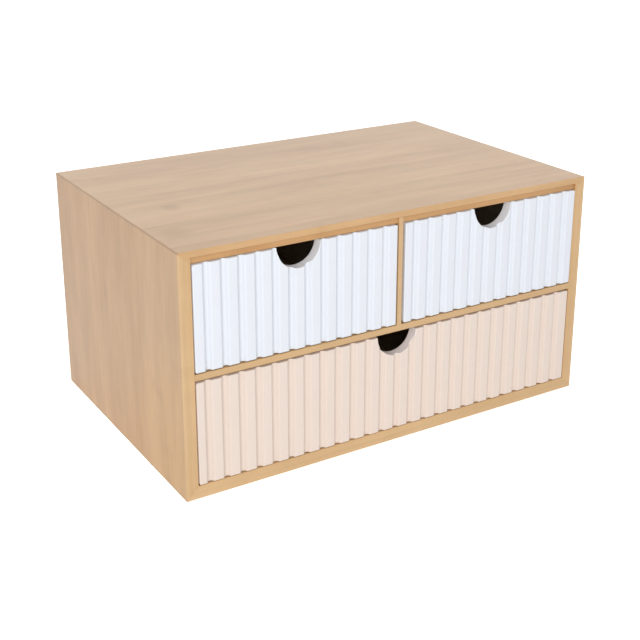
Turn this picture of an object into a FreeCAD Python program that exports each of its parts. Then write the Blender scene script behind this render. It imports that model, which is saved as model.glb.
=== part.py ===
import FreeCAD, Part
import math
import os

os.makedirs("parts", exist_ok=True)
V = FreeCAD.Vector

# Desktop mini drawers: a mitred bamboo case with a shelf and a centre divider,
# two small drawers side by side above one wide drawer, all with fluted fronts.
# Millimetres. X runs along the front, +Y to the back, +Z up.
# Origin: middle of the footprint, on the surface the case stands on.

# ---------------------------------------------------------------- dimensions
W = 300.0            # outer width
H = 155.0            # outer height
Y_CREST = -97.5      # front of the flute crests
CREST_PROUD = 0.5    # crests stand this far in front of the case
Y_CASE = Y_CREST + CREST_PROUD
Y_BACK = 97.5        # rear of the case
T_BOARD = 8.0        # top and side boards
T_BASE = 8.4         # bottom board
T_SHELF = 4.1
SHELF_Z = 76.0       # underside of the shelf
DIVIDER_X = (-1.75, 1.5)
LIP_H = 4.0          # visible front edge of the top board
RECESS = 1.5         # the top board's front steps back this far under the lip
T_BACK = 3.0         # back panel
REBATE = 3.5         # width of the rear rebate that takes the back panel
DADO = 3.0           # depth of the housings for the shelf ends
DADO_SHELF = 1.5     # depth of the housing for the divider's lower edge
STOP = 3.0           # housings stop this far behind the case front
R_OUT = 0.6          # rounding of the case's outer arrises
R_IN = 0.3           # rounding of the case's inner front arrises

FRONT_H = 65.7       # height of every drawer front
FRONT_T = 7.0        # crest to back face
DEPTH = 2.2          # depth of the flutes
CREST = 4.8          # width of a rib's flat crest
FLANK = math.radians(52.0)   # slope of a rib's sides
R_SHOULDER = 1.0     # rounding from the crest into the flank
R_NOTCH = 14.5       # half-round finger notch
R_EDGE = 0.6         # softened upright edges of the fronts
R_END = 0.5          # softened upper and lower edges of the fronts
R_RIM = 0.5          # softened edge of the notch
R_CORNER = 1.2       # eased corners of the fronts
UPPER_Z = 80.95      # lower edge of the two upper fronts
LOWER_Z = 9.0        # lower edge of the wide front
# each front: its span in X, then its left edge to the middle of its first flute, the flute
# pitch, and how far the notch lies from the middle of the front
LEFT_X = (-141.4, -3.0)
LEFT_FLUTES = (8.55, 11.02, -0.65)
RIGHT_X = (3.0, 141.5)
RIGHT_FLUTES = (8.05, 11.04, -0.85)
WIDE_X = (-141.4, 141.1)
WIDE_FLUTES = (7.4, 11.055, -1.7)

T_SIDE = 5.0         # drawer sides and drawer backs
T_FLOOR = 3.0        # drawer bottoms
HOUSING = 1.5        # sides and bottom are let into the front this deep
GROOVE = 2.0         # bottom's groove in the drawer sides
FLOOR_UP = 4.0       # underside of the drawer bottom above the sides' lower edge
RIM_DROP = 4.0       # drawer sides end this far under the front's top edge
RUN = 0.3            # running clearance under the drawer sides
END_GAP = 0.5        # drawer back to the case's back panel

PIN_R = 0.5          # brad shank
PIN_HEAD_R = 1.0
PIN_HEAD_T = 0.5
PIN_CLEAR = 0.05     # brad to its hole, all round

# ---------------------------------------------------------------- helpers
def box(x0, x1, y0, y1, z0, z1):
    return Part.makeBox(x1 - x0, y1 - y0, z1 - z0, V(x0, y0, z0))


def prism_xz(points, y0, y1):
    wire = Part.makePolygon([V(x, y0, z) for x, z in points] + [V(points[0][0], y0, points[0][1])])
    return Part.Face(wire).extrude(V(0, y1 - y0, 0))


def near(value, target, tol=1e-4):
    return abs(value - target) < tol


def edges_where(shape, test):
    found = []
    for e in shape.Edges:
        b = e.BoundBox
        if test(b):
            found.append(e)
    return found


def brad(head, direction, length, clearance=0.0):
    # a headed brad; head is the centre of its outer face, direction points into the wood
    d = V(*direction)
    h = V(*head)
    top = Part.makeCylinder(PIN_HEAD_R + clearance, PIN_HEAD_T + clearance, h, d)
    shank = Part.makeCylinder(PIN_R + clearance, length + clearance, h, d)
    return top.fuse(shank).removeSplitter()


def drill(shape, pins):
    for head, direction, length in pins:
        # the hole starts a little outside the face, so that no skin is left on it
        d = V(*direction)
        h = V(*head)
        start = h - d * 0.05
        top = Part.makeCylinder(PIN_HEAD_R + PIN_CLEAR, PIN_HEAD_T + PIN_CLEAR + 0.05 + 0.05, start, d)
        shank = Part.makeCylinder(PIN_R + PIN_CLEAR, length + PIN_CLEAR + 0.1, start, d)
        shape = shape.cut(top).cut(shank)
    return shape


def pin_group(pins):
    return Part.makeCompound([brad(h, d, l) for h, d, l in pins])


def export(shape, name):
    solids = shape.Solids
    ok = all(s.isValid() for s in solids)
    if len(solids) == 1:
        shape = solids[0]
    print("%-32s solids %2d valid %s volume %.1f" % (name, len(solids), ok, shape.Volume))
    shape.exportStep("parts/%s.step" % name)


# ---------------------------------------------------------------- case
XI = W / 2 - T_BOARD             # inner faces of the sides
ZB = T_BASE                      # inner face of the bottom
ZT = H - T_BOARD                 # inner face of the top
Z_LIP = H - LIP_H
Y_STEP = Y_CASE + RECESS
Y_PANEL = Y_BACK - T_BACK        # inner face of the back panel
Z_SHELF_TOP = SHELF_Z + T_SHELF
Y_STOP = Y_CASE + STOP

# brads: (centre of the head's outer face, direction, length)
case_pins = []
for x in (-125.0, -75.0, -25.0, 25.0, 75.0, 125.0):
    case_pins.append(((x, Y_BACK - 0.05, H - (T_BOARD + REBATE + 0.5) / 2), (0, -1, 0), 14.0))
    case_pins.append(((x, Y_BACK - 0.05, (T_BOARD + REBATE + 0.5) / 2), (0, -1, 0), 14.0))
for x in (-1, 1):
    for z in (40.0, 115.0):
        case_pins.append(((x * (W / 2 - (T_BOARD + REBATE + 0.5) / 2), Y_BACK - 0.05, z), (0, -1, 0), 14.0))
for x in (-72.0, 72.0):
    case_pins.append(((x, Y_BACK - 0.05, SHELF_Z + T_SHELF / 2), (0, -1, 0), 14.0))

shell = box(-W / 2, W / 2, Y_CASE, Y_BACK, 0, H)
shell = shell.makeFillet(R_OUT, shell.Edges)
shell = shell.cut(box(-XI, XI, Y_CASE - 1, Y_BACK + 1, ZB, ZT))
shell = shell.cut(box(-XI, XI, Y_CASE - 1, Y_STEP, ZT - 1, Z_LIP))
front_arris = edges_where(shell, lambda b: near(b.YMin, Y_CASE) and near(b.YMax, Y_CASE)
                          and b.XMin > -XI - 0.01 and b.XMax < XI + 0.01
                          and b.ZMin > ZB - 0.01 and b.ZMax < Z_LIP + 0.01)
step_arris = edges_where(shell, lambda b: near(b.YMin, Y_STEP) and near(b.YMax, Y_STEP)
                         and near(b.ZMin, ZT) and near(b.ZMax, ZT))
shell = shell.makeFillet(R_IN, front_arris + step_arris)
# rebate for the back panel
shell = shell.cut(box(-W / 2 + (T_BOARD - REBATE), W / 2 - (T_BOARD - REBATE), Y_PANEL, Y_BACK + 1,
                      T_BOARD - REBATE, H - (T_BOARD - REBATE)))
# stopped housings for the shelf ends, and the divider's upper housing
for s in (-1, 1):
    xs = sorted((s * XI, s * (XI + DADO)))
    shell = shell.cut(box(xs[0], xs[1], Y_STOP, Y_PANEL, SHELF_Z, Z_SHELF_TOP))
shell = shell.cut(box(DIVIDER_X[0], DIVIDER_X[1], Y_STEP - 1, Y_PANEL, ZT - 1, Z_LIP))

# four boards, mitred at 45 degrees through the inner corners
E = 1.0
I = 2.0
xo, xi = W / 2 + E, XI - I
zi0, zi1 = ZB + I, ZT - I
zo0, zo1 = ZB - (xo - XI), ZT + (xo - XI)
wedges = {
    "top_panel": [(-xo, zo1), (xo, zo1), (xi, zi1), (-xi, zi1)],
    "bottom_panel": [(-xo, zo0), (-xi, zi0), (xi, zi0), (xo, zo0)],
    "left_side_panel": [(-xo, zo0), (-xo, zo1), (-xi, zi1), (-xi, zi0)],
    "right_side_panel": [(xo, zo0), (xi, zi0), (xi, zi1), (xo, zo1)],
}
for name, points in wedges.items():
    board = shell.common(prism_xz(points, Y_CASE - 5, Y_BACK + 5))
    export(drill(board, case_pins), name)

# shelf: front corners are cut back so that the housings stay hidden
shelf = box(-XI, XI, Y_CASE, Y_PANEL, SHELF_Z, Z_SHELF_TOP)
shelf = shelf.makeFillet(R_IN, edges_where(shelf, lambda b: near(b.YMax, Y_CASE) and near(b.ZMin, b.ZMax)))
for s in (-1, 1):
    xs = sorted((s * (XI - 1), s * (XI + DADO)))
    shelf = shelf.fuse(box(xs[0], xs[1], Y_STOP, Y_PANEL, SHELF_Z, Z_SHELF_TOP))
shelf = shelf.removeSplitter()
shelf = shelf.cut(box(DIVIDER_X[0], DIVIDER_X[1], Y_STOP, Y_PANEL + 1, Z_SHELF_TOP - DADO_SHELF, Z_SHELF_TOP + 1))
export(drill(shelf, case_pins), "shelf_panel")

# divider: its top end runs up behind the step to the underside of the lip
divider = box(DIVIDER_X[0], DIVIDER_X[1], Y_CASE, Y_PANEL, Z_SHELF_TOP, Z_LIP)
divider = divider.makeFillet(R_IN, edges_where(divider, lambda b: near(b.YMax, Y_CASE) and near(b.XMin, b.XMax)))
divider = divider.fuse(box(DIVIDER_X[0], DIVIDER_X[1], Y_STOP, Y_PANEL,
                           Z_SHELF_TOP - DADO_SHELF, Z_SHELF_TOP + 1)).removeSplitter()
export(divider, "centre_divider")

PLAY = 0.1
back = box(-W / 2 + (T_BOARD - REBATE) + PLAY, W / 2 - (T_BOARD - REBATE) - PLAY, Y_PANEL, Y_BACK,
           T_BOARD - REBATE + PLAY, H - (T_BOARD - REBATE) - PLAY)
export(drill(back, case_pins), "back_panel")
export(pin_group(case_pins), "back_panel_pins")


# ---------------------------------------------------------------- fluted front
def flute_face(x0, x1, first, pitch, z):
    # outline seen from above: flat crests, sloping flanks and round-bottomed flutes
    yb = Y_CREST + FRONT_T
    sn, cs = math.sin(FLANK), math.cos(FLANK)
    half = (pitch - CREST) / 2
    radii = (half * sn - DEPTH * cs) / (1 - cs)      # shoulder and root radius together
    root = radii - R_SHOULDER
    h = math.sin(FLANK / 2), math.cos(FLANK / 2)

    def at(x, depth):
        return V(x, Y_CREST + depth, z)

    def line(p, q):
        edges.append(Part.LineSegment(p, q).toShape())

    def arc(p, m, q):
        edges.append(Part.Arc(p, m, q).toShape())

    edges = []
    k = math.sqrt(0.5)
    line(at(x0, FRONT_T), at(x0, R_EDGE))
    arc(at(x0, R_EDGE), at(x0 + R_EDGE * (1 - k), R_EDGE * (1 - k)), at(x0 + R_EDGE, 0))
    last = at(x0 + R_EDGE, 0)
    xg = x0 + first
    while xg + half < x1 - R_EDGE:
        side = []
        for s in (-1, 1):
            side.append((at(xg + s * half, 0),
                         at(xg + s * (half - R_SHOULDER * h[0]), R_SHOULDER * (1 - h[1])),
                         at(xg + s * (half - R_SHOULDER * sn), R_SHOULDER * (1 - cs)),
                         at(xg + s * root * sn, DEPTH - root * (1 - cs))))
        line(last, side[0][0])
        arc(side[0][0], side[0][1], side[0][2])
        line(side[0][2], side[0][3])
        arc(side[0][3], at(xg, DEPTH), side[1][3])
        line(side[1][3], side[1][2])
        arc(side[1][2], side[1][1], side[1][0])
        last = side[1][0]
        xg += pitch
    line(last, at(x1 - R_EDGE, 0))
    arc(at(x1 - R_EDGE, 0), at(x1 - R_EDGE * (1 - k), R_EDGE * (1 - k)), at(x1, R_EDGE))
    line(at(x1, R_EDGE), at(x1, FRONT_T))
    line(at(x1, FRONT_T), at(x0, FRONT_T))
    return Part.Face(Part.Wire(edges))


def end_cutter(x0, x1, z, up):
    # rounds the crests over along the upper or the lower edge of a front
    zc = z - up * R_END
    za, zb = sorted((zc, z + up))
    block = box(x0 - 1, x1 + 1, Y_CREST - 1, Y_CREST + R_END, za, zb)
    return block.cut(Part.makeCylinder(R_END, x1 - x0 + 4, V(x0 - 2, Y_CREST + R_END, zc), V(1, 0, 0)))


def rim_cutter(xm, z):
    # a bell mouth that rounds the crests over around the finger notch
    r0, r1, y = R_NOTCH, R_NOTCH + R_RIM, Y_CREST
    k = math.sqrt(0.5)
    p = [V(xm + r0 - 1, y - 1, z), V(xm + r1, y - 1, z), V(xm + r1, y, z),
         V(xm + r0, y + R_RIM, z), V(xm + r0 - 1, y + R_RIM, z)]
    mid = V(xm + r1 - R_RIM * k, y + R_RIM * (1 - k), z)
    edges = [Part.LineSegment(p[0], p[1]).toShape(), Part.LineSegment(p[1], p[2]).toShape(),
             Part.Arc(p[2], mid, p[3]).toShape(),
             Part.LineSegment(p[3], p[4]).toShape(), Part.LineSegment(p[4], p[0]).toShape()]
    return Part.Face(Part.Wire(edges)).revolve(V(xm, 0, z), V(0, 1, 0), 360)


def drawer_front(x0, x1, z0, first, pitch, aside):
    z1 = z0 + FRONT_H
    xm = (x0 + x1) / 2 + aside
    body = flute_face(x0, x1, first, pitch, z0).extrude(V(0, 0, FRONT_H))
    plate = box(x0, x1, Y_CREST - 1, Y_CREST + FRONT_T + 1, z0, z1)
    plate = plate.makeFillet(R_CORNER, edges_where(plate, lambda b: b.YLength > FRONT_T + 1))
    body = body.common(plate)
    body = body.cut(Part.makeCylinder(R_NOTCH, FRONT_T + 10, V(xm, Y_CREST - 5, z1), V(0, 1, 0)))
    body = body.cut(rim_cutter(xm, z1))
    return body.cut(end_cutter(x0, x1, z0, -1)).cut(end_cutter(x0, x1, z1, 1))


def drawer(prefix, span, flutes, z0, z_run):
    x0, x1 = span
    z1 = z0 + FRONT_H
    yf = Y_CREST + FRONT_T           # back face of the front
    ya = yf - HOUSING                # ends of the sides, inside the front
    ye = Y_PANEL - END_GAP           # rear of the drawer
    zs = z_run + RUN                 # lower edge of the sides
    zr = z1 - RIM_DROP               # rim
    zf = zs + FLOOR_UP               # underside of the bottom

    pins = []
    for z in (zf + T_FLOOR + 10.0, zr - 10.0):
        pins.append(((x0 + 0.05, ye - T_SIDE / 2, z), (1, 0, 0), 14.0))
        pins.append(((x1 - 0.05, ye - T_SIDE / 2, z), (-1, 0, 0), 14.0))
    count = 2 if x1 - x0 < 200 else 4
    for i in range(count):
        x = x0 + (x1 - x0) * (i + 1.0) / (count + 1.0)
        pins.append(((x, ye - T_SIDE / 2, zf + 0.05), (0, 0, 1), 14.0))

    front = drawer_front(x0, x1, z0, *flutes)
    for a, b in ((x0, x0 + T_SIDE), (x1 - T_SIDE, x1)):
        front = front.cut(box(a - 1 if a == x0 else a, b + 1 if b == x1 else b, ya, yf + 1, z0 - 5, zr))
    front = front.cut(box(x0 + T_SIDE - GROOVE, x1 - T_SIDE + GROOVE, ya, yf + 1, zf, zf + T_FLOOR))
    export(front, prefix + "_front")

    for name, a, b, s in (("_left_side", x0, x0 + T_SIDE, 1), ("_right_side", x1 - T_SIDE, x1, -1)):
        side = box(a, b, ya, ye, zs, zr)
        side = side.makeFillet(0.8, edges_where(side, lambda q: near(q.ZMin, zr) and near(q.XMin, q.XMax)))
        ga, gb = (b - GROOVE, b + 1) if s > 0 else (a - 1, a + GROOVE)
        side = side.cut(box(ga, gb, ya - 1, ye + 1, zf, zf + T_FLOOR))
        export(drill(side, pins), prefix + name)

    rear = box(x0 + T_SIDE, x1 - T_SIDE, ye - T_SIDE, ye, zf + T_FLOOR, zr)
    rear = rear.makeFillet(0.8, edges_where(rear, lambda q: near(q.ZMin, zr) and near(q.YMin, q.YMax)))
    export(drill(rear, pins), prefix + "_back")

    floor = box(x0 + T_SIDE - GROOVE, x1 - T_SIDE + GROOVE, ya, ye, zf, zf + T_FLOOR)
    export(drill(floor, pins), prefix + "_bottom")
    export(pin_group(pins), prefix + "_pins")


drawer("top_left_drawer", LEFT_X, LEFT_FLUTES, UPPER_Z, Z_SHELF_TOP)
drawer("top_right_drawer", RIGHT_X, RIGHT_FLUTES, UPPER_Z, Z_SHELF_TOP)
drawer("bottom_drawer", WIDE_X, WIDE_FLUTES, LOWER_Z, ZB)
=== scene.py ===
import bpy
import bmesh
import math
from mathutils import Matrix, Vector

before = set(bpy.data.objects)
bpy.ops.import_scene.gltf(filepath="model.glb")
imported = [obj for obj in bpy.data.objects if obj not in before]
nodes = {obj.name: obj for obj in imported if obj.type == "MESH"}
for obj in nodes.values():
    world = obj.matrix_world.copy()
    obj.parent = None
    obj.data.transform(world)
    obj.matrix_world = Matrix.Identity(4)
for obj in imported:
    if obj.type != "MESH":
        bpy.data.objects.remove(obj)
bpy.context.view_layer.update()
scene = bpy.context.scene

# Row frame in metres: X along the front, +Y to the back, +Z up.
HALF_W = 0.150
HEIGHT = 0.155


# ---------------------------------------------------------------- node helpers
class Tree:
    """A small way to write a shader as expressions. Lengths inside are in millimetres."""

    def __init__(self, name):
        self.mat = bpy.data.materials.new(name)
        self.mat.use_nodes = True
        self.nt = self.mat.node_tree
        self.nt.nodes.clear()
        self.out = self.nt.nodes.new("ShaderNodeOutputMaterial")
        self.bsdf = self.nt.nodes.new("ShaderNodeBsdfPrincipled")
        self.nt.links.new(self.bsdf.outputs["BSDF"], self.out.inputs["Surface"])
        coord = self.nt.nodes.new("ShaderNodeTexCoord")
        scale = self.nt.nodes.new("ShaderNodeVectorMath")
        scale.operation = "SCALE"
        scale.inputs["Scale"].default_value = 1000.0
        self.nt.links.new(coord.outputs["Object"], scale.inputs[0])
        split = self.nt.nodes.new("ShaderNodeSeparateXYZ")
        self.nt.links.new(scale.outputs[0], split.inputs[0])
        self.x, self.y, self.z = split.outputs

    def put(self, value, socket):
        if isinstance(value, bpy.types.NodeSocket):
            self.nt.links.new(value, socket)
        elif isinstance(value, (tuple, list)) and len(value) == 3 and socket.type == "RGBA":
            socket.default_value = (*value, 1.0)
        else:
            socket.default_value = value

    def m(self, op, a, b=None, c=None, clamp=False):
        n = self.nt.nodes.new("ShaderNodeMath")
        n.operation = op
        n.use_clamp = clamp
        for i, v in enumerate((a, b, c)):
            if v is not None:
                self.put(v, n.inputs[i])
        return n.outputs[0]

    def add(self, *terms):
        total = terms[0]
        for t in terms[1:]:
            total = self.m("ADD", total, t)
        return total

    def mul(self, *terms):
        total = terms[0]
        for t in terms[1:]:
            total = self.m("MULTIPLY", total, t)
        return total

    def vec(self, x, y, z):
        n = self.nt.nodes.new("ShaderNodeCombineXYZ")
        for i, v in enumerate((x, y, z)):
            self.put(v, n.inputs[i])
        return n.outputs[0]

    def noise(self, vec, detail=2.0, rough=0.5, distortion=0.0):
        """Noise of unit scale, roughly 0 to 1 with its middle at 0.5."""
        n = self.nt.nodes.new("ShaderNodeTexNoise")
        n.inputs["Scale"].default_value = 1.0
        n.inputs["Detail"].default_value = detail
        n.inputs["Roughness"].default_value = rough
        n.inputs["Distortion"].default_value = distortion
        self.put(vec, n.inputs["Vector"])
        return n.outputs["Fac"]

    def rand(self, value):
        n = self.nt.nodes.new("ShaderNodeTexWhiteNoise")
        n.noise_dimensions = "1D"
        self.put(value, n.inputs["W"])
        return n.outputs["Value"]

    def smooth(self, value, a, b, lo=0.0, hi=1.0):
        n = self.nt.nodes.new("ShaderNodeMapRange")
        n.interpolation_type = "SMOOTHSTEP"
        for name, v in (("Value", value), ("From Min", a), ("From Max", b), ("To Min", lo), ("To Max", hi)):
            self.put(v, n.inputs[name])
        return n.outputs["Result"]

    def mix(self, fac, a, b, blend="MIX"):
        n = self.nt.nodes.new("ShaderNodeMix")
        n.data_type = "RGBA"
        n.blend_type = blend
        n.clamp_result = False
        self.put(fac, n.inputs[0])
        self.put(a, n.inputs[6])
        self.put(b, n.inputs[7])
        return n.outputs[2]

    def tone(self, colour, factor):
        """A colour times a factor that varies over the surface."""
        n = self.nt.nodes.new("ShaderNodeVectorMath")
        n.operation = "SCALE"
        if isinstance(colour, bpy.types.NodeSocket):
            self.nt.links.new(colour, n.inputs[0])
        else:
            n.inputs[0].default_value = colour
        self.put(factor, n.inputs["Scale"])
        return n.outputs[0]

    def grade(self, colour, factor):
        """A wood colour times a factor, with green and blue moving more than red, the way
        darker fibres are also deeper in colour."""
        e = self.m("SUBTRACT", factor, 1.0)
        n = self.nt.nodes.new("ShaderNodeVectorMath")
        n.operation = "MULTIPLY"
        self.put(colour, n.inputs[0])
        self.put(self.vec(self.m("MULTIPLY_ADD", e, 0.90, 1.0), self.m("MULTIPLY_ADD", e, 1.15, 1.0),
                          self.m("MULTIPLY_ADD", e, 1.55, 1.0)), n.inputs[1])
        return n.outputs[0]

    def bump(self, height, strength, distance_mm):
        n = self.nt.nodes.new("ShaderNodeBump")
        n.inputs["Strength"].default_value = strength
        n.inputs["Distance"].default_value = distance_mm / 1000.0
        self.put(height, n.inputs["Height"])
        self.nt.links.new(n.outputs["Normal"], self.bsdf.inputs["Normal"])

    def set(self, **sockets):
        for name, value in sockets.items():
            self.put(value, self.bsdf.inputs[name.replace("_", " ")])


def bamboo(name, grain, across, seed, base, strip=19.0, contrast=1.0, rough=0.42, coat=0.5,
           node_every=190.0, case="", inner=False, marks=(), low_front=0.0,
           edge=(1.0, 1.0, 1.0)):
    """Laminated bamboo: strips side by side along the grain, each with its own tone and its
    own knuckles, long fibres, and a clear satin finish. marks are knuckles placed one by one:
    (along the grain, across it, half length, half width, strength). edge is the tint of a case
    board's front edge."""
    t = Tree(name)
    axis = {"X": t.x, "Y": t.y, "Z": t.z}
    third = next(k for k in "XYZ" if k not in (grain, across))
    u, v, w = axis[grain], axis[across], axis[third]
    # the joints between strips aren't dead straight to the eye, because fibres run over them
    wander = t.m("SUBTRACT", t.noise(t.vec(t.mul(u, 0.010), seed * 3.1, t.mul(v, 0.03)), 2.0), 0.5)
    pos = t.m("DIVIDE", t.add(v, t.mul(wander, 5.0), 400.0 + seed * 7.7), strip)
    ident = t.m("FLOOR", pos)
    inside = t.m("FRACT", pos)
    ply = t.m("FLOOR", t.m("DIVIDE", t.add(w, 300.0), 2.5))
    r1 = t.rand(t.add(t.mul(ident, 1.37), seed))
    r2 = t.rand(t.add(t.mul(ident, 2.91), seed + 40.0))
    r3 = t.rand(t.add(t.mul(ident, 1.93), t.mul(ply, 5.31), seed + 80.0))
    # a strip's tone runs softly into its neighbour's
    r0 = t.rand(t.add(t.mul(t.m("SUBTRACT", ident, 1.0), 1.37), seed))
    strip_tone = t.m("SUBTRACT", t.add(t.mul(r0, t.smooth(inside, 0.0, 0.16, 1.0, 0.0)),
                                       t.mul(r1, t.smooth(inside, 0.0, 0.16))), 0.5)
    # fibres: long and thin, at several scales
    shift = t.mul(r1, 300.0)
    fine = t.noise(t.vec(t.mul(t.add(u, shift), 0.024), t.mul(v, 1.5), t.mul(w, 1.5)), 4.0, 0.62)
    middle = t.noise(t.vec(t.mul(t.add(u, shift), 0.014), t.mul(v, 0.28), t.mul(w, 0.5)), 2.0, 0.55, 0.3)
    broad = t.noise(t.vec(t.mul(u, 0.011), t.mul(v, 0.065), seed), 3.0, 0.5)
    wide = t.noise(t.vec(t.mul(u, 0.009), t.mul(v, 0.022), seed + 5.0), 1.0, 0.5)
    cloud = t.noise(t.vec(t.mul(u, 0.05), t.mul(v, 0.13), seed + 9.0), 3.0, 0.6)
    blush = t.noise(t.vec(t.mul(u, 0.020), t.mul(v, 0.04), seed + 17.0), 2.0, 0.5)
    # knuckles: a short irregular darker mark right across one strip
    ph = t.add(t.m("DIVIDE", u, node_every), t.mul(r2, 5.0), 10.0)
    off = t.m("MULTIPLY", t.m("SUBTRACT", t.m("FRACT", ph), 0.5), node_every)
    bend = t.mul(t.m("SUBTRACT", t.noise(t.vec(t.mul(u, 0.08), t.mul(v, 0.25), seed + 3.0), 2.0), 0.5), 9.0)
    dist = t.m("ABSOLUTE", t.add(off, bend))
    present = t.smooth(t.rand(t.add(ident, t.m("FLOOR", ph), seed * 2.0)), 0.35, 0.45)
    knuckle = t.mul(t.smooth(dist, 0.8, 7.0, 1.0, 0.0), present,
                    t.smooth(t.m("ABSOLUTE", t.m("SUBTRACT", inside, 0.5)), 0.30, 0.5, 1.0, 0.15),
                    t.smooth(cloud, 0.35, 0.62))
    placed = 0.0
    for mu, mv, length, width, strength in marks:
        du = t.m("DIVIDE", t.m("SUBTRACT", t.add(u, t.mul(bend, 0.6)), mu), length)
        dv = t.m("DIVIDE", t.m("SUBTRACT", t.add(v, t.mul(t.m("SUBTRACT", cloud, 0.5), 5.0)), mv), width)
        spot = t.smooth(t.m("SQRT", t.add(t.mul(du, du), t.mul(dv, dv))), 0.1, 1.0, strength, 0.0)
        placed = t.add(placed, spot)
    seam = t.smooth(t.m("ABSOLUTE", t.m("SUBTRACT", inside, 0.5)), 0.5 - 0.30 / strip, 0.5)
    # some joints read as a soft darker line for part of their length
    drawn = t.mul(t.smooth(t.m("ABSOLUTE", t.m("SUBTRACT", inside, 0.5)), 0.5 - 1.5 / strip, 0.5),
                  t.smooth(t.noise(t.vec(t.mul(u, 0.016), t.m("ROUND", pos), seed + 23.0), 2.0), 0.46, 0.60))
    k = contrast
    tone = t.add(
        1.0,
        t.mul(strip_tone, 0.085 * k),
        t.mul(t.m("SUBTRACT", r3, 0.5), 0.030 * k),
        t.mul(t.m("SUBTRACT", fine, 0.5), 0.12 * k),
        t.mul(t.m("SUBTRACT", middle, 0.5), 0.15 * k),
        t.mul(t.m("SUBTRACT", broad, 0.5), 0.32 * k),
        t.mul(t.m("SUBTRACT", wide, 0.5), 0.20 * k),
        t.mul(drawn, -0.05 * k),
        t.mul(t.m("SUBTRACT", cloud, 0.5), 0.12 * k),
        t.mul(knuckle, -0.06 * k),
        t.mul(placed, -0.15),
        t.mul(seam, -0.02 * k),
    )
    warm = (base[0] * 1.010, base[1] * 0.988, base[2] * 0.990)
    cool = (base[0] * 0.992, base[1] * 1.010, base[2] * 1.010)
    hue = t.add(t.mul(r2, 0.30), t.mul(t.smooth(blush, 0.34, 0.66), 0.70))
    colour = t.mix(hue, warm, cool)
    deep = (base[0] * 0.84, base[1] * 0.72, base[2] * 0.60)
    colour = t.mix(t.mul(t.smooth(fine, 0.56, 0.80), 0.20 * k), colour, deep)
    colour = t.mix(t.m("MAXIMUM", t.m("MINIMUM", t.mul(placed, 0.25), 1.0), 0.0), colour, deep)
    if low_front:
        # painted reflection: this board is coloured yellower towards its lower front corner, where less sheen shows,
        # and darker towards its upper rear
        patch = t.mul(t.smooth(t.y, -95.0, 20.0, 1.0, 0.0), t.smooth(t.z, 20.0, 120.0, 1.0, 0.0))
        colour = t.mix(t.mul(patch, low_front), colour, (base[0] * 1.01, base[1] * 1.01, base[2] * 0.82))
        rear = t.mul(t.smooth(t.y, -10.0, 80.0), t.smooth(t.z, 20.0, 110.0))
        colour = t.mix(t.mul(rear, 0.8), colour, (base[0] * 0.955, base[1] * 0.93, base[2] * 0.89))
    if case:
        dx = t.m("SUBTRACT", 150.0, t.m("ABSOLUTE", t.x))
        high = t.m("SUBTRACT", 155.0, t.z)
        dz = t.m("MINIMUM", high, t.z)
        front = t.smooth(t.y, -96.7, -96.2, 1.0, 0.0)
        # the front edge is coloured paler outside and deeper towards the opening
        depth = t.m("MINIMUM", dx, dz)
        layer = t.add(depth, t.mul(t.m("SUBTRACT", t.noise(t.vec(t.mul(u, 0.02), seed, 0.0), 2.0), 0.5), 1.2))
        if case == "top":
            colour = t.mix(t.mul(front, 0.9), colour, (base[0] * 0.97, base[1] * 0.96, base[2] * 0.88))
            # the set-back band under the lip is coloured darker and more saturated, with a reddish stretch at each end
            band = t.mul(t.smooth(t.z, 150.9, 151.05, 1.0, 0.0), t.smooth(t.y, -95.3, -95.0, 1.0, 0.0),
                         t.smooth(t.z, 146.0, 146.5), t.smooth(t.m("ABSOLUTE", t.x), 141.9, 142.1, 1.0, 0.0))
            red = t.m("MAXIMUM", t.smooth(t.m("ABSOLUTE", t.m("ADD", t.x, 104.0)), 4.0, 22.0, 1.0, 0.0),
                      t.smooth(t.x, 118.0, 140.0))
            shade = t.mix(t.mul(red, t.smooth(fine, 0.35, 0.65)), (base[0] * 0.86, base[1] * 0.77, base[2] * 0.59),
                          (base[0] * 0.77, base[1] * 0.64, base[2] * 0.46))
            colour = t.mix(band, colour, shade)
        else:
            pale = t.mul(front, t.smooth(layer, 1.2, 2.2, 1.0, 0.0))
            rich = t.mul(front, t.smooth(layer, 5.2, 6.2))
            tint = tuple(b * e for b, e in zip(base, edge))
            colour = t.mix(t.mul(front, 0.9), colour, tint)
            colour = t.mix(t.mul(pale, 0.8), colour, (tint[0] * 1.05, tint[1] * 1.08, tint[2] * 1.14))
            colour = t.mix(t.mul(rich, 0.8), colour, (tint[0] * 0.99, tint[1] * 0.955, tint[2] * 0.89))
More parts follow.
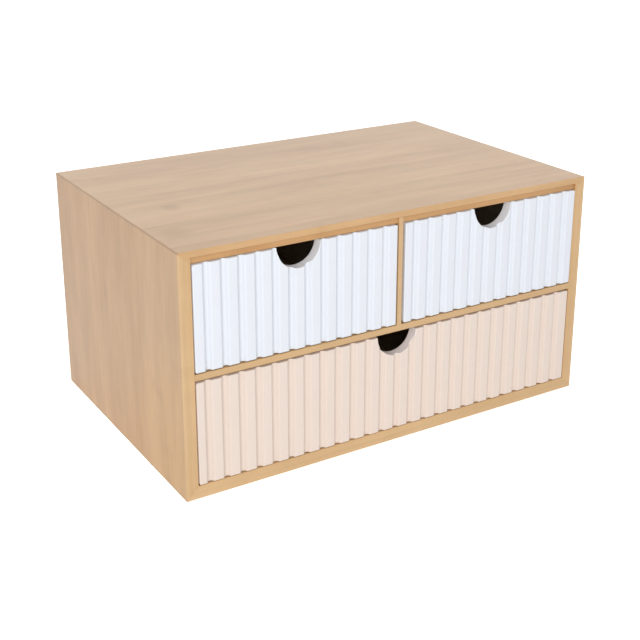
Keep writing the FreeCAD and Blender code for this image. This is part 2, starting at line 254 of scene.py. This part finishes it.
        # the mitred arrises: the joint shows as a thin brown line, and a hair line across the front edge
        uneven = t.noise(t.vec(t.mul(t.y, 0.06), t.mul(t.y, 0.9), seed), 3.0)
        line = t.smooth(t.m("MAXIMUM", dx, dz), t.add(0.45, t.mul(uneven, 0.5)), t.add(1.0, t.mul(uneven, 0.6)), 1.0, 0.0)
        foot = t.m("SUBTRACT", dx, t.m("SUBTRACT", t.z, 0.4))
        joint = t.m("MINIMUM", t.m("ABSOLUTE", t.m("SUBTRACT", dx, high)), t.m("ABSOLUTE", foot))
        hair = t.mul(t.smooth(joint, 0.05, 0.25, 1.0, 0.0), t.smooth(t.m("MAXIMUM", dx, dz), 8.3, 8.5, 1.0, 0.0),
                     t.smooth(t.m("MAXIMUM", dx, dz), 1.0, 6.0, 0.35, 1.0))
        mark = t.m("MINIMUM", t.add(t.mul(line, 0.40), t.mul(hair, 0.20)), 0.5)
        colour = t.mix(mark, colour, (base[0] * 0.42, base[1] * 0.33, base[2] * 0.25))
    t.set(Base_Color=t.grade(colour, tone), IOR=1.5,
          Roughness=t.add(rough - 0.06, t.mul(fine, 0.08), t.mul(middle, 0.05)))
    if coat:
        t.bsdf.inputs["Coat Weight"].default_value = coat
        t.bsdf.inputs["Coat Roughness"].default_value = 0.30
    height = t.add(t.mul(fine, 1.0), t.mul(middle, 0.6), t.mul(seam, -0.5), t.mul(knuckle, -0.4))
    t.bump(height, 0.35 if inner else 0.22, 0.05)
    return t.mat


def paint(name, base, flank_shade, floor, wall, notch, seed, rough=0.40):
    """Satin paint on the fluted fronts: an even coat with a faint roller texture. Painted shade
    makes it a little darker on the flanks and at the bottom of the flutes; wall is its tone in the
    finger notch, painted lighter there as painted light, and the notch's middle is notch."""
    t = Tree(name)
    depth = t.m("ADD", t.y, 97.5)                      # 0 on the crests, about 2 in the grooves
    slope = t.smooth(depth, -0.1, 1.7)
    low = t.smooth(depth, 1.5, 2.15)
    wood = t.noise(t.vec(t.mul(t.x, 0.55), t.mul(t.y, 0.55), t.mul(t.z, 0.018)), 3.0, 0.6)
    mottle = t.noise(t.vec(t.mul(t.x, 0.07), t.mul(t.z, 0.05), seed), 3.0, 0.55)
    peel = t.noise(t.vec(t.mul(t.x, 1.6), t.mul(t.y, 1.6), t.mul(t.z, 1.3)), 3.0, 0.6)
    fine = t.noise(t.vec(t.mul(t.x, 6.0), t.mul(t.y, 6.0), t.mul(t.z, 4.0)), 2.0, 0.6)
    # painted shade: the tone drops on the flanks and drops further at the bottom of the flutes
    tone = t.add(
        1.0,
        t.mul(t.m("SUBTRACT", wood, 0.5), 0.018),
        t.mul(t.m("SUBTRACT", mottle, 0.5), 0.022),
        t.mul(t.m("SUBTRACT", peel, 0.5), 0.010),
        t.mul(slope, -flank_shade),
        t.mul(low, flank_shade - floor),
    )
    warm = (base[0] * 1.004, base[1] * 0.996, base[2] * 0.985)
    cool = (base[0] * 0.994, base[1] * 1.003, base[2] * 1.008)
    dx = t.m("SUBTRACT", t.x, notch[0])
    dz = t.m("SUBTRACT", t.z, notch[1])
    away = t.m("SQRT", t.add(t.mul(dx, dx), t.mul(dz, dz)))
    inside = t.smooth(away, 14.5, 14.9, 1.0, 0.0)
    # painted light: inside the finger notch the wall is coloured lighter than the front
    colour = t.mix(inside, t.tone(t.mix(mottle, warm, cool), tone), wall)
    t.set(Base_Color=colour, IOR=1.48,
          Roughness=t.add(rough - 0.05, t.mul(peel, 0.06), t.mul(low, 0.10)))
    t.bump(t.add(t.mul(peel, 1.0), t.mul(wood, 0.7), t.mul(fine, 0.25)), 0.25, 0.03)
    return t.mat


def steel(name):
    t = Tree(name)
    scratch = t.noise(t.vec(t.mul(t.x, 9.0), t.mul(t.y, 9.0), t.mul(t.z, 9.0)), 3.0, 0.6)
    t.set(Base_Color=t.tone((0.55, 0.55, 0.56), t.add(0.85, t.mul(scratch, 0.3))),
          Metallic=1.0, Roughness=t.add(0.28, t.mul(scratch, 0.22)))
    t.bump(scratch, 0.2, 0.02)
    return t.mat


def dress(node, mat):
    o = nodes[node]
    if not o.material_slots:
        o.data.materials.append(mat)
    for s in o.material_slots:
        s.material = mat


# ---------------------------------------------------------------- finishes
CASE = (0.640, 0.412, 0.208)
INNER = (0.640, 0.520, 0.385)
PLY = (0.610, 0.470, 0.320)
CASE_TOP = (0.690, 0.426, 0.215)
CASE_LEFT = (0.636, 0.381, 0.187)
SHELF = (0.628, 0.396, 0.188)
WHITE = (0.828, 0.858, 0.918)
# painted light: the finger-notch walls are coloured lighter than the fronts
WHITE_WALL_PAINTED_LIGHT = (0.940, 0.945, 0.985)
PEACH = (0.845, 0.720, 0.640)
PEACH_WALL_PAINTED_LIGHT = (0.960, 0.870, 0.850)

# knuckles in the top board and the left side, where the grain turns darker for a finger's width
TOP_MARKS = ((-117.0, 80.0 - 97.0, 9.0, 9.0, 1.0), (-136.0, 33.0 - 97.0, 14.0, 13.0, 0.75),
             (-70.0, 138.0 - 97.0, 26.0, 11.0, 0.40), (31.0, 163.0 - 97.0, 18.0, 7.0, 0.35),
             (21.0, 41.0 - 97.0, 26.0, 4.5, 0.35), (-6.0, 60.0 - 97.0, 7.0, 10.0, 0.25),
             (-6.0, 90.0 - 97.0, 100.0, 8.0, 0.32), (-50.0, 111.0 - 97.0, 120.0, 4.0, 0.28),
             (-42.0, 43.0 - 97.0, 95.0, 3.5, 0.30), (64.0, 121.0 - 97.0, 55.0, 11.0, -0.30),
             (-78.0, 58.0 - 97.0, 62.0, 9.0, -0.25))
LEFT_MARKS = ((57.0, 36.0 - 97.0, 6.0, 12.0, 0.45), (96.0, 112.0 - 97.0, 14.0, 5.0, 0.25),
              (70.0, 110.0 - 97.0, 80.0, 2.2, 0.30), (80.0, 90.0 - 97.0, 90.0, 2.2, 0.35),
              (90.0, 70.0 - 97.0, 70.0, 2.2, 0.30), (85.0, 25.0 - 97.0, 90.0, 2.5, 0.30),
              (80.0, 125.0 - 97.0, 70.0, 6.0, -0.25), (90.0, 82.0 - 97.0, 60.0, 4.0, -0.25),
              (110.0, 36.0 - 97.0, 50.0, 5.0, -0.25))

dress("top_panel", bamboo("bamboo_top", "X", "Y", 1.0, CASE_TOP, strip=20.0, contrast=1.25, case="top",
                          marks=TOP_MARKS))
# painted light: the bottom board's front edge is tinted paler and brighter, as light from the floor would make it
dress("bottom_panel", bamboo("bamboo_bottom", "X", "Y", 2.0, CASE, case="bottom", edge=(1.05, 1.09, 1.10)))
dress("left_side_panel", bamboo("bamboo_left", "Z", "Y", 3.0, CASE_LEFT, strip=20.0, contrast=1.35, case="side",
                                marks=LEFT_MARKS, low_front=0.8, edge=(1.0, 1.08, 1.10)))
dress("right_side_panel", bamboo("bamboo_right", "Z", "Y", 4.0, CASE, strip=17.0, case="side",
                                 edge=(1.04, 1.03, 0.99)))
dress("shelf_panel", bamboo("bamboo_shelf", "X", "Y", 5.0, SHELF))
dress("centre_divider", bamboo("bamboo_divider", "Z", "Y", 6.0, CASE))
dress("back_panel", bamboo("bamboo_back_ply", "X", "Z", 7.0, PLY, strip=23.0, contrast=1.1, rough=0.5, coat=0.2,
                           inner=True))

steel_mat = steel("brad_steel")
dress("back_panel_pins", steel_mat)
for i, d in enumerate(("top_left_drawer", "top_right_drawer", "bottom_drawer")):
    s = 11.0 + 6.0 * i
    notch = ((-72.85, 146.65), (71.4, 146.65), (-1.85, 74.7))[i]
    if i < 2:
        dress(d + "_front", paint("paint_white_%d" % i, WHITE, 0.055, 0.03, WHITE_WALL_PAINTED_LIGHT, notch, s))
    else:
        dress(d + "_front", paint("paint_peach", PEACH, 0.03, 0.04, PEACH_WALL_PAINTED_LIGHT, notch, s))
    dress(d + "_left_side", bamboo("bamboo_%s_l" % d, "Y", "Z", s + 1, INNER, strip=15.0, rough=0.52, coat=0.1, inner=True))
    dress(d + "_right_side", bamboo("bamboo_%s_r" % d, "Y", "Z", s + 2, INNER, strip=15.0, rough=0.52, coat=0.1, inner=True))
    dress(d + "_back", bamboo("bamboo_%s_b" % d, "X", "Z", s + 3, INNER, strip=15.0, rough=0.52, coat=0.1, inner=True))
    dress(d + "_bottom", bamboo("bamboo_%s_f" % d, "X", "Y", s + 4, PLY, strip=21.0, rough=0.52, coat=0.1, inner=True))
    dress(d + "_pins", steel_mat)

# ---------------------------------------------------------------- floor
bm = bmesh.new()
bmesh.ops.create_grid(bm, x_segments=8, y_segments=8, size=6.0)
mesh = bpy.data.meshes.new("floor")
bm.to_mesh(mesh)
bm.free()
floor = bpy.data.objects.new("floor", mesh)
floor.location = (0.0, 0.0, -0.0002)
scene.collection.objects.link(floor)
t = Tree("floor_white")
grain = t.noise(t.vec(t.mul(t.x, 0.01), t.mul(t.y, 0.01), 0.0), 2.0)
path = t.nt.nodes.new("ShaderNodeLightPath")
plain = t.tone((0.80, 0.80, 0.80), t.add(0.99, t.mul(grain, 0.02)))
lit = t.tone((1.5, 1.5, 1.5), t.add(0.99, t.mul(grain, 0.02)))
bright = t.tone((2.6, 2.6, 2.6), t.add(0.99, t.mul(grain, 0.02)))
seen = t.mix(path.outputs["Is Camera Ray"], t.mix(path.outputs["Is Glossy Ray"], plain, lit), bright)
t.set(Base_Color=seen, Roughness=0.9)
t.bsdf.inputs["Specular IOR Level"].default_value = 0.0
mesh.materials.append(t.mat)

# ---------------------------------------------------------------- light
world = bpy.data.worlds.new("studio")
scene.world = world
world.use_nodes = True
wn = world.node_tree
wn.nodes.clear()
w_out = wn.nodes.new("ShaderNodeOutputWorld")
w_soft = wn.nodes.new("ShaderNodeBackground")
w_soft.inputs["Color"].default_value = (0.98, 0.99, 1.0, 1.0)
w_soft.inputs["Strength"].default_value = 0.52
w_seen = wn.nodes.new("ShaderNodeBackground")
w_seen.inputs["Color"].default_value = (1.0, 1.0, 1.0, 1.0)
w_seen.inputs["Strength"].default_value = 1.15
w_path = wn.nodes.new("ShaderNodeLightPath")
w_any = wn.nodes.new("ShaderNodeMath")
w_any.operation = "MAXIMUM"
wn.links.new(w_path.outputs["Is Camera Ray"], w_any.inputs[0])
wn.links.new(w_path.outputs["Is Glossy Ray"], w_any.inputs[1])
w_mix = wn.nodes.new("ShaderNodeMixShader")
wn.links.new(w_any.outputs[0], w_mix.inputs[0])
wn.links.new(w_soft.outputs[0], w_mix.inputs[1])
wn.links.new(w_seen.outputs[0], w_mix.inputs[2])
wn.links.new(w_mix.outputs[0], w_out.inputs["Surface"])


def area(name, azimuth, elevation, distance, size, energy, colour=(1, 1, 1), target=(0.0, 0.0, 0.07)):
    a, e = math.radians(azimuth), math.radians(elevation)
    back = Vector((math.sin(a) * math.cos(e), -math.cos(a) * math.cos(e), math.sin(e)))
    data = bpy.data.lights.new(name, "AREA")
    data.shape = "RECTANGLE"
    data.size, data.size_y = size
    data.energy = energy
    data.color = colour
    lamp = bpy.data.objects.new(name, data)
    lamp.location = Vector(target) + back * distance
    lamp.rotation_mode = "QUATERNION"
    lamp.rotation_quaternion = (-back).to_track_quat("-Z", "Y")
    scene.collection.objects.link(lamp)
    # soft light only: its own mirror image would wash out the top board when seen from behind
    lamp.visible_glossy = False
    return lamp


area("key", -30.0, 20.0, 2.2, (1.8, 1.4), 27.0, (1.0, 0.995, 0.985))

# ---------------------------------------------------------------- camera
AZ, EL = math.radians(-31.415), math.radians(18.618)
back = Vector((math.sin(AZ) * math.cos(EL), -math.cos(AZ) * math.cos(EL), math.sin(EL)))
cam_data = bpy.data.cameras.new("camera")
cam_data.sensor_width = 36.0
cam_data.lens = 1180.8 / 640.0 * 36.0
cam_data.shift_y = -0.13
cam = bpy.data.objects.new("camera", cam_data)
cam.rotation_mode = "QUATERNION"
cam.location = (-0.4000, -0.5592 - 0.0970, 0.3695)
cam.rotation_quaternion = (-back).to_track_quat("-Z", "Y")
scene.collection.objects.link(cam)
scene.camera = cam

scene.view_settings.view_transform = "Standard"
scene.view_settings.look = "None"
scene.view_settings.exposure = 0.0
scene.view_settings.gamma = 1.0
